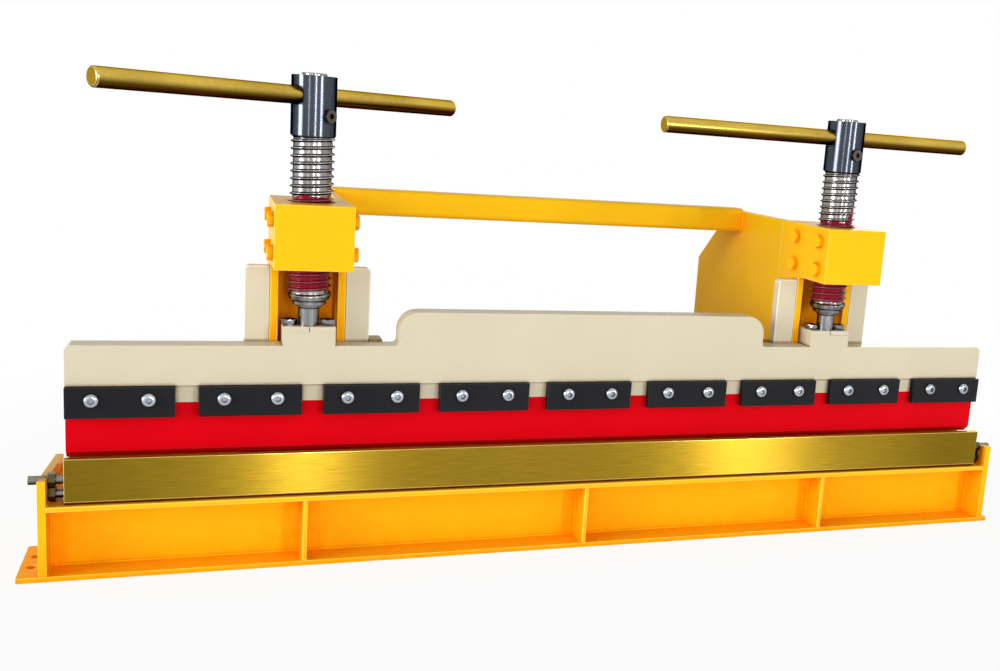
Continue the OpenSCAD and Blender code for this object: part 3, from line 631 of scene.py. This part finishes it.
# %% Thread tree
def thread_radius(tree, given, height, turn):
    phase = math_node(tree, "SUBTRACT", math_node(tree, "DIVIDE", height, given.outputs["Pitch"]), turn)
    wave = math_node(tree, "PINGPONG", phase, 0.5)
    ridge = spread_range(tree, wave, CREST_HALF, VALLEY_START, 0.0, 1.0, interpolation_type="SMOOTHSTEP")
    from_low = math_node(tree, "SUBTRACT", height, given.outputs["Low"])
    to_high = math_node(tree, "SUBTRACT", given.outputs["High"], height)
    start = math_node(tree, "DIVIDE", from_low, given.outputs["Pitch"])
    end = math_node(tree, "DIVIDE", to_high, given.outputs["Pitch"])
    run_in = math_node(tree, "MULTIPLY", math_node(tree, "MINIMUM", start, end), 3.0, True)
    full_cut = math_node(tree, "MULTIPLY", ridge, given.outputs["Depth"])
    cut = math_node(tree, "MULTIPLY", full_cut, run_in)
    return math_node(tree, "SUBTRACT", given.outputs["Radius"], cut)


def make_thread_tree():
    inputs = [(label, "Float") for label in ("Pitch", "Depth", "Radius", "Low", "High")]
    inputs += [("Axis", "Vector"), ("Around", "Int"), ("Along", "Int"), ("Material", "Material")]
    tree, ids, given, out = geometry_tree("wound_thread", inputs)
    grid = put(tree, "GeometryNodeMeshGrid")
    grid.inputs["Size X"].default_value = grid.inputs["Size Y"].default_value = 1
    tree.links.new(given.outputs["Around"], grid.inputs["Vertices X"])
    tree.links.new(given.outputs["Along"], grid.inputs["Vertices Y"])
    place = put(tree, "GeometryNodeInputPosition")
    split = put(tree, "ShaderNodeSeparateXYZ")
    tree.links.new(place.outputs[0], split.inputs[0])
    turn = math_node(tree, "ADD", split.outputs[0], 0.5)
    share = math_node(tree, "ADD", split.outputs[1], 0.5)
    reach = math_node(tree, "SUBTRACT", given.outputs["High"], given.outputs["Low"])
    height = math_node(tree, "ADD", given.outputs["Low"], math_node(tree, "MULTIPLY", share, reach))
    radius = thread_radius(tree, given, height, turn)
    angle = math_node(tree, "MULTIPLY", turn, 2 * math.pi)
    join = put(tree, "ShaderNodeCombineXYZ")
    tree.links.new(math_node(tree, "MULTIPLY", radius, math_node(tree, "COSINE", angle)), join.inputs[0])
    tree.links.new(math_node(tree, "MULTIPLY", radius, math_node(tree, "SINE", angle)), join.inputs[1])
    tree.links.new(height, join.inputs[2])
    shift = put(tree, "ShaderNodeVectorMath", operation="ADD")
    tree.links.new(join.outputs[0], shift.inputs[0])
    tree.links.new(given.outputs["Axis"], shift.inputs[1])
    wrap = put(tree, "GeometryNodeSetPosition")
    tree.links.new(grid.outputs["Mesh"], wrap.inputs["Geometry"])
    tree.links.new(shift.outputs[0], wrap.inputs["Position"])
    weld = put(tree, "GeometryNodeMergeByDistance")
    weld.inputs["Distance"].default_value = SAME_PLACE
    tree.links.new(wrap.outputs[0], weld.inputs["Geometry"])
    smooth = put(tree, "GeometryNodeSetShadeSmooth")
    tree.links.new(weld.outputs[0], smooth.inputs["Geometry"])
    finish_tree(tree, given, out, smooth.outputs[0])
    return tree, ids


thread_tree, thread_ids = make_thread_tree()
print("thread tree", len(thread_tree.nodes), "nodes")

# %% [markdown]
# The rest of a spindle is turned: a thrust ring inside the keeper, a neck, a collar, a cone
# up to the thread, and a thinner end inside the hub. A turned shape is a profile spun round
# the axis, here written as pairs of radius and height. The thread closes it in the middle.

# %% Turned shapes
def ring(work, radii, height, centre=(0.0, 0.0)):
    angles = [2 * math.pi * i / len(radii) for i in range(len(radii))]
    return [work.verts.new((centre[0] + r * math.cos(a), centre[1] + r * math.sin(a), height))
            for r, a in zip(radii, angles)]


def bridge(work, low, high):
    sides = max(len(low), len(high))
    for i in range(sides):
        j = (i + 1) % sides
        if len(low) == 1:
            work.faces.new((low[0], high[j], high[i]))
        elif len(high) == 1:
            work.faces.new((low[i], low[j], high[0]))
        else:
            work.faces.new((low[i], low[j], high[j], high[i]))


def spun(work, profile, centre):
    rings = [ring(work, [radius] * (SPINDLE_SIDES if radius else 1), height, centre)
             for radius, height in profile]
    for low, high in zip(rings, rings[1:]):
        bridge(work, low, high)


def smooth_mesh(work, name, sharp_angle):
    for face in work.faces:
        face.smooth = True
    mesh = bpy.data.meshes.new(name)
    work.to_mesh(mesh)
    work.free()
    mesh.set_sharp_from_angle(angle=math.radians(sharp_angle))
    return mesh


SPINDLE_SIDES = 96
print("spindles have", SPINDLE_SIDES, "sides")

# %% Spindles
FOOT = [(0, 0.2203), (0.0122, 0.2203), (0.0130, 0.2211), (0.0130, 0.2285), (0.0122, 0.2293),
        (0.0098, 0.2293), (0.0098, 0.2512), (0.0102, 0.2516), (0.0115, 0.2526), (0.01176, 0.2534),
        (0.01176, 0.2548), (0.0150, 0.2548), (0.0156, 0.2553), (0.01575, 0.2561), (0.01575, 0.2576),
        (0.0160, 0.2584), (0.0172, 0.2594), (0.0186, 0.2602), (0.0190, 0.2612), (0.0197, 0.2628),
        (THREAD_RADIUS, THREAD_LOW)]
TOP_END = [(THREAD_RADIUS, THREAD_HIGH), (0.0115, THREAD_HIGH), (0.0115, 0.4700), (0.0115, 0.4717),
           (0.0108, 0.4725), (0, 0.4725)]
THREAD_SIZES = {"Pitch": PITCH, "Depth": 0.0024, "Radius": THREAD_RADIUS, "Low": THREAD_LOW,
                "High": THREAD_HIGH, "Around": 97, "Along": 345}


def make_spindle(side, x):
    name = side + "_spindle"
    work = bmesh.new()
    spun(work, FOOT, (x, SCREW_Y))
    spun(work, TOP_END, (x, SCREW_Y))
    turned = link(bpy.data.objects.new(name + "_turned", smooth_mesh(work, name + "_turned", 35)))
    values = dict(THREAD_SIZES, Axis=(x, SCREW_Y, 0.0), Material=screw_steel[side])
    thread = grown(name + "_thread", thread_tree, thread_ids, values)
    take_over(turned, screw_steel[side], name)
    take_over(thread, screw_steel[side], name)
    return len(turned.data.polygons), len(thread.data.polygons)


for side, x in SIDES:
    print(side, "spindle faces", make_spindle(side, x))

# %% [markdown]
# ## Screws and bolts in rows
# The same screw appears many times, so it is modelled once and set on points. The tree takes
# a mesh whose vertices are the places, and an object that is repeated on each of them.

# %% Placing tree
def make_place_tree():
    inputs = [("Places", "Geometry"), ("Fastener", "Object"), ("Turn", "Rotation"), ("Seed", "Int"),
              ("Material", "Material")]
    tree, ids, given, out = geometry_tree("set_on_points", inputs)
    info = put(tree, "GeometryNodeObjectInfo")
    tree.links.new(given.outputs["Fastener"], info.inputs["Object"])
    chance = put(tree, "FunctionNodeRandomValue", data_type="FLOAT")
    chance.inputs[2].default_value = 0
    chance.inputs[3].default_value = math.pi / 3
    tree.links.new(given.outputs["Seed"], chance.inputs["Seed"])
    spin = put(tree, "ShaderNodeCombineXYZ")
    tree.links.new(chance.outputs[1], spin.inputs[2])
    own = put(tree, "FunctionNodeEulerToRotation")
    tree.links.new(spin.outputs[0], own.inputs[0])
    both = put(tree, "FunctionNodeRotateRotation", rotation_space="LOCAL")
    tree.links.new(given.outputs["Turn"], both.inputs[0])
    tree.links.new(own.outputs[0], both.inputs[1])
    points = put(tree, "GeometryNodeInstanceOnPoints")
    tree.links.new(given.outputs["Places"], points.inputs["Points"])
    tree.links.new(info.outputs["Geometry"], points.inputs["Instance"])
    tree.links.new(both.outputs[0], points.inputs["Rotation"])
    finish_tree(tree, given, out, points.outputs[0])
    return tree, ids


place_tree, place_ids = make_place_tree()


def placed(name, fastener, places, turn, seed, material):
    mesh = bpy.data.meshes.new(name)
    mesh.from_pydata(places, [], [])
    values = {"Fastener": fastener, "Turn": turn, "Seed": seed, "Material": material}
    return grown(name, place_tree, place_ids, values, mesh)


print("placing tree", len(place_tree.nodes), "nodes")

# %% [markdown]
# A fastener is made standing on the origin with its head up +Z. The round head is a dome with
# a hexagon socket, and the bolt head is a hexagon with a chamfered crown.

# %% Fasteners
HEAD_SIDES = 48
DOME = ((0.97, 0.0), (1.0, 0.05), (1.0, 0.34), (0.97, 0.48), (0.90, 0.68), (0.80, 0.84), (0.68, 0.95),
        (0.58, 1.0))


def hexagon_radii(flats):
    offs = [(2 * math.pi * i / HEAD_SIDES + math.pi / 6) % (math.pi / 3) - math.pi / 6
            for i in range(HEAD_SIDES)]
    return [flats / 2 / math.cos(off) for off in offs]


def shank_rows(work, radius, length):
    return [ring(work, [radius] * HEAD_SIDES, z) for z in (-length, 0.0)]


def closed_object(name, work, rows, sharp_angle):
    for low, high in zip(rows, rows[1:]):
        bridge(work, low, high)
    work.faces.new(rows[-1])
    work.faces.new(list(reversed(rows[0])))
    bmesh.ops.recalc_face_normals(work, faces=work.faces)
    return bpy.data.objects.new(name, smooth_mesh(work, name, sharp_angle))


def socket_head(name, radius, height, flats, deep, shank):
    work = bmesh.new()
    rows = shank_rows(work, *shank)
    rows += [ring(work, [radius * r] * HEAD_SIDES, height * z) for r, z in DOME]
    for scale, z in ((1.06, height), (1.0, height - 0.0003), (0.99, height - deep)):
        rows.append(ring(work, [r * scale for r in hexagon_radii(flats)], z))
    return closed_object(name, work, rows, 40)


def hexagon_head(name, flats, height, shank=None):
    work = bmesh.new()
    corner = flats / math.sqrt(3)
    rows = shank_rows(work, *shank) if shank else []
    for cap, z in ((corner * 0.97, 0.0), (corner, 0.0002), (corner, height * 0.82),
                   (corner * 0.93, height * 0.93), (corner * 0.86, height)):
        rows.append(ring(work, [min(r, cap) for r in hexagon_radii(flats)], z))
    rows.append(ring(work, [corner * 0.6] * HEAD_SIDES, height * 0.985))
    return closed_object(name, work, rows, 30)


round_screw = socket_head("round_screw", 0.00675, 0.0044, 0.005, 0.0026, (0.004, 0.0195))
keeper_bolt = hexagon_head("keeper_bolt", 0.013, 0.0055, (0.004, 0.0175))
side_bolt = hexagon_head("side_bolt", 0.013, 0.0055)
print("fastener faces", [len(f.data.polygons) for f in (round_screw, keeper_bolt, side_bolt)])

# %% Set the fasteners
CLAMPS, CLAMP_PITCH, CLAMP_SCREW_X, CLAMP_SCREW_Y, CLAMP_SCREW_Z = 9, 0.1134, 0.024, -0.0053, 0.166
KEEPER_BOLT_X, KEEPER_TOP = 0.0178, 0.2345
HEAD_BOLT_Y, HEAD_BOLT_Z = (-0.015, 0.0357), (0.307, 0.338)
FACE_FRONT, FACE_UP = (math.radians(90), 0, 0), (0, 0, 0)

clamp_places = [((i - CLAMPS // 2) * CLAMP_PITCH + s * CLAMP_SCREW_X, CLAMP_SCREW_Y, CLAMP_SCREW_Z)
                for i in range(CLAMPS) for s in (-1, 1)]
clamp_row = placed("clamp_screw_row", round_screw, clamp_places, FACE_FRONT, 3, zinc)
take_over(clamp_row, zinc, "clamp_screws")
keeper_places = [(x + s * KEEPER_BOLT_X, SCREW_Y, KEEPER_TOP) for _, x in SIDES for s in (-1, 1)]
keeper_set = placed("keeper_bolt_set", keeper_bolt, keeper_places, FACE_UP, 5, bolt_metal)
take_over(keeper_set, bolt_metal, "keeper_bolts")
for side, x in SIDES:
    for way, tilt in ((-1, -90), (1, 90)):
        spots = [(x + way * FRAME_OUTER, y, z) for y in HEAD_BOLT_Y for z in HEAD_BOLT_Z]
        label = side + ("_outer_" if (way < 0) == (side == "left") else "_inner_") + "head_bolt_set"
        bolt_set = placed(label, side_bolt, spots, (0, math.radians(tilt), 0), 7, yellow)
        take_over(bolt_set, yellow, side + "_head_bolts")
print("clamp screws", len(clamp_places), "keeper bolts", len(keeper_places), "bolts per head side", len(spots))

# %% Remaining solids
for name, obj in nodes.items():
    obj.data.materials.clear()
    obj.data.materials.append(finish_of(name))
print("finished nodes", len(nodes))

# %% [markdown]
# ## Welds
# The base and the frames are welded, and the painted beads show as soft ridges in the corners.
# A tree turns each edge of a small wire mesh into a bead: the edge becomes a curve, its
# points get a slightly uneven radius, and a circle is swept along it.

# %% Weld tree
def make_weld_tree():
    inputs = [("Lines", "Geometry"), ("Radius", "Float"), ("Step", "Float"), ("Unevenness", "Float"),
              ("Seed", "Float"), ("Material", "Material")]
    tree, ids, given, out = geometry_tree("weld_bead", inputs)
    curve = put(tree, "GeometryNodeMeshToCurve")
    tree.links.new(given.outputs["Lines"], curve.inputs[0])
    fine = put(tree, "GeometryNodeResampleCurve", mode="LENGTH")
    tree.links.new(curve.outputs[0], fine.inputs["Curve"])
    tree.links.new(given.outputs["Step"], fine.inputs["Length"])
    noise = put(tree, "ShaderNodeTexNoise", noise_dimensions="4D")
    noise.inputs["Scale"].default_value = 420
    tree.links.new(given.outputs["Seed"], noise.inputs["W"])
    place = put(tree, "GeometryNodeInputPosition")
    tree.links.new(place.outputs[0], noise.inputs["Vector"])
    centred = math_node(tree, "SUBTRACT", noise.outputs["Fac"], 0.5)
    change = math_node(tree, "MULTIPLY", centred, given.outputs["Unevenness"])
    size = math_node(tree, "MULTIPLY", math_node(tree, "ADD", change, 1.0), given.outputs["Radius"])
    circle = put(tree, "GeometryNodeCurvePrimitiveCircle")
    circle.inputs["Resolution"].default_value = 12
    circle.inputs["Radius"].default_value = 1
    sweep = put(tree, "GeometryNodeCurveToMesh")
    sweep.inputs["Fill Caps"].default_value = True
    tree.links.new(fine.outputs[0], sweep.inputs["Curve"])
    tree.links.new(circle.outputs["Curve"], sweep.inputs["Profile Curve"])
    tree.links.new(size, sweep.inputs["Scale"])
    smooth = put(tree, "GeometryNodeSetShadeSmooth")
    tree.links.new(sweep.outputs[0], smooth.inputs["Geometry"])
    finish_tree(tree, given, out, smooth.outputs[0])
    return tree, ids


weld_tree, weld_ids = make_weld_tree()
print("weld tree", len(weld_tree.nodes), "nodes")

# %% Lines of the base welds
WEB_FACE, TABLE_EDGE, END_INNER, END_OUTER = 0.0095, -0.0165, 0.5144, 0.5214
RIB_X, RIB_HALF = 0.289, 0.0022
TABLE_BEAD_END, END_BEAD_END = 0.04, 0.059


def rib_lines(x):
    lines = []
    for s in (-1, 1):
        side = x + s * RIB_HALF
        corners = ((side, TABLE_EDGE, SOLE_TOP), (side, WEB_FACE, SOLE_TOP),
                   (side, WEB_FACE, TABLE_UNDER), (side, TABLE_EDGE, TABLE_UNDER))
        lines += list(zip(corners, corners[1:]))
    return lines


base_lines = [line for x in (-RIB_X, 0.0, RIB_X) for line in rib_lines(x)]
for s in (-1, 1):
    inner, outer = s * END_INNER, s * END_OUTER
    base_lines += [((inner, TABLE_EDGE, SOLE_TOP), (inner, WEB_FACE, SOLE_TOP)),
                   ((inner, WEB_FACE, SOLE_TOP), (inner, WEB_FACE, TABLE_UNDER)),
                   ((inner, TABLE_EDGE, TABLE_UNDER), (inner, WEB_FACE, TABLE_UNDER)),
                   ((inner, TABLE_EDGE, TABLE_TOP), (inner, TABLE_BEAD_END, TABLE_TOP)),
                   ((outer, TABLE_EDGE, SOLE_TOP), (outer, END_BEAD_END, SOLE_TOP))]
base_lines.append(((-END_INNER, WEB_FACE, SOLE_TOP), (END_INNER, WEB_FACE, SOLE_TOP)))
print("base weld lines", len(base_lines))

# %% Lines of the frame welds
BACK_Y, BACK_LOW, BACK_HIGH = 0.0523, 0.075, 0.2925
FOOT_Y = (0.044, 0.112)
STRIP_Y = (0.114, 0.294)

frame_lines = []
for _, x in SIDES:
    for s in (-1, 1):
        inner, outer = x + s * FRAME_INNER, x + s * FRAME_OUTER
        frame_lines += [((inner, BACK_Y, BACK_LOW), (inner, BACK_Y, BACK_HIGH)),
                        tuple((outer, y, TABLE_TOP) for y in FOOT_Y),
                        tuple((outer, y, SOLE_TOP) for y in STRIP_Y)]
print("frame weld lines", len(frame_lines))

# %% Lines of the tube welds
TUBE_END, TUBE_RADIUS, TUBE_WELD_TOP = 0.2521, 0.006, 0.353
TUBE_Y, TUBE_Z = (0.173, 0.202), (0.328, 0.357)


def tube_ring(x):
    (low_y, high_y), (low_z, high_z), r = TUBE_Y, TUBE_Z, TUBE_RADIUS
    points = []
    for cy, cz, start in ((high_y - r, high_z - r, 0), (low_y + r, high_z - r, 90),
                          (low_y + r, low_z + r, 180), (high_y - r, low_z + r, 270)):
        for step in (0, 30, 60, 90):
            angle = math.radians(start + step)
            points.append((x, cy + r * math.cos(angle), cz + r * math.sin(angle)))
    lines = zip(points, points[1:] + points[:1])
    return [(a, b) for a, b in lines if min(a[2], b[2]) < TUBE_WELD_TOP]


tube_lines = tube_ring(-TUBE_END) + tube_ring(TUBE_END)
print("tube weld lines", len(tube_lines))

# %% Beads
BEAD_STEP = 0.0018


def wires(lines):
    mesh = bpy.data.meshes.new("wires")
    points = [p for line in lines for p in line]
    mesh.from_pydata(points, [(2 * i, 2 * i + 1) for i in range(len(lines))], [])
    return mesh


def add_weld(name, lines, radius, uneven, seed):
    values = {"Radius": radius, "Step": BEAD_STEP, "Unevenness": uneven, "Seed": seed, "Material": yellow}
    obj = grown(name, weld_tree, weld_ids, values, wires(lines))
    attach(obj, "frame")
    return len(obj.data.polygons)


print("base bead faces", add_weld("base_welds", base_lines, 0.0017, 0.5, 1.0))
print("frame bead faces", add_weld("frame_welds", frame_lines, 0.0017, 0.5, 2.0))
print("tube bead faces", add_weld("tube_welds", tube_lines, 0.0019, 0.7, 3.0))

# %% [markdown]
# ## Light and floor
# The machine stands on a plain pale floor that turns pure white away from it. Tall softboxes
# at the left, in front and at the right, weak fills at the side and rear and an even sky give
# the level at which a colour renders about as written. Narrow tall lamps draw upright glints
# on turned steel and upright bands on the brushed die.

# %% Floor
FLOOR_HALF, FLOOR_Z, FLOOR_GREY, FLOOR_ROUGH = 30, -0.0002, 0.9, 0.9


def seen_or_mirrored(tree):
    path = put(tree, "ShaderNodeLightPath")
    mirrored = math_node(tree, "MAXIMUM", path.outputs["Is Glossy Ray"], path.outputs["Is Transmission Ray"])
    return math_node(tree, "MAXIMUM", path.outputs["Is Camera Ray"], mirrored)


floor_material = bpy.data.materials.new("pale_floor")
floor_material.use_nodes = True
floor_tree = floor_material.node_tree
floor_shader = floor_tree.nodes["Principled BSDF"]
floor_shader.inputs["Base Color"].default_value = (FLOOR_GREY, FLOOR_GREY, FLOOR_GREY, 1)
floor_shader.inputs["Roughness"].default_value = FLOOR_ROUGH
floor_shader.inputs["Specular IOR Level"].default_value = 0.0
floor_place = put(floor_tree, "ShaderNodeTexCoord")
floor_reach = put(floor_tree, "ShaderNodeVectorMath", operation="LENGTH")
floor_tree.links.new(floor_place.outputs["Object"], floor_reach.inputs[0])
whiten = spread_range(floor_tree, floor_reach.outputs["Value"], 0.65, 1.1, 0.93, 1.0,
                      interpolation_type="SMOOTHSTEP")
glow = put(floor_tree, "ShaderNodeEmission")
shader_mix = put(floor_tree, "ShaderNodeMixShader")
white_share = math_node(floor_tree, "MULTIPLY", seen_or_mirrored(floor_tree), whiten)
floor_tree.links.new(white_share, shader_mix.inputs[0])
floor_tree.links.new(floor_shader.outputs[0], shader_mix.inputs[1])
floor_tree.links.new(glow.outputs[0], shader_mix.inputs[2])
floor_tree.links.new(shader_mix.outputs[0], floor_tree.nodes["Material Output"].inputs["Surface"])
floor_corners = [(x * FLOOR_HALF, y * FLOOR_HALF, FLOOR_Z) for x, y in ((-1, -1), (1, -1), (1, 1), (-1, 1))]
floor_mesh = bpy.data.meshes.new("floor")
floor_mesh.from_pydata(floor_corners, [], [(0, 1, 2, 3)])
floor = link(bpy.data.objects.new("floor", floor_mesh))
floor.data.materials.append(floor_material)
print("floor ready, half width", FLOOR_HALF)

# %% World
SKY_LIGHT, SKY_EXTRA_WHEN_SEEN = 0.33, 0.67

world = bpy.data.worlds.new("studio")
bpy.context.scene.world = world
world.use_nodes = True
sky_tree = world.node_tree
sky = sky_tree.nodes["Background"]
sky.inputs["Color"].default_value = (1, 1, 1, 1)
sky_extra = math_node(sky_tree, "MULTIPLY", seen_or_mirrored(sky_tree), SKY_EXTRA_WHEN_SEEN)
sky_tree.links.new(math_node(sky_tree, "ADD", SKY_LIGHT, sky_extra), sky.inputs["Strength"])
print("sky light", SKY_LIGHT)

# %% Lamps
LAMP_AIM = Vector((0, 0, 0.2))


def add_lamp(name, place, wide, tall, watts):
    data = bpy.data.lights.new(name, "AREA")
    data.shape, data.size, data.size_y, data.energy = "RECTANGLE", wide, tall, watts
    lamp = link(bpy.data.objects.new(name, data))
    lamp.location = place
    lamp.rotation_euler = (LAMP_AIM - Vector(place)).to_track_quat("-Z", "Y").to_euler()
    return lamp


add_lamp("left_softbox", (-2.8, -4.6, 1.25), wide=0.35, tall=2.4, watts=22)
add_lamp("front_softbox", (0.0, -3.5, 0.7), wide=0.2, tall=1.3, watts=27)
add_lamp("right_softbox", (2.0, -3.5, 0.7), wide=0.35, tall=1.3, watts=42)
add_lamp("side_fill", (-4.5, -1.2, 0.95), wide=1.6, tall=1.8, watts=145)
add_lamp("rear_fill", (3.6, 3.6, 2.0), wide=2.0, tall=2.0, watts=60)
scene = bpy.context.scene
scene.view_settings.view_transform = "Standard"
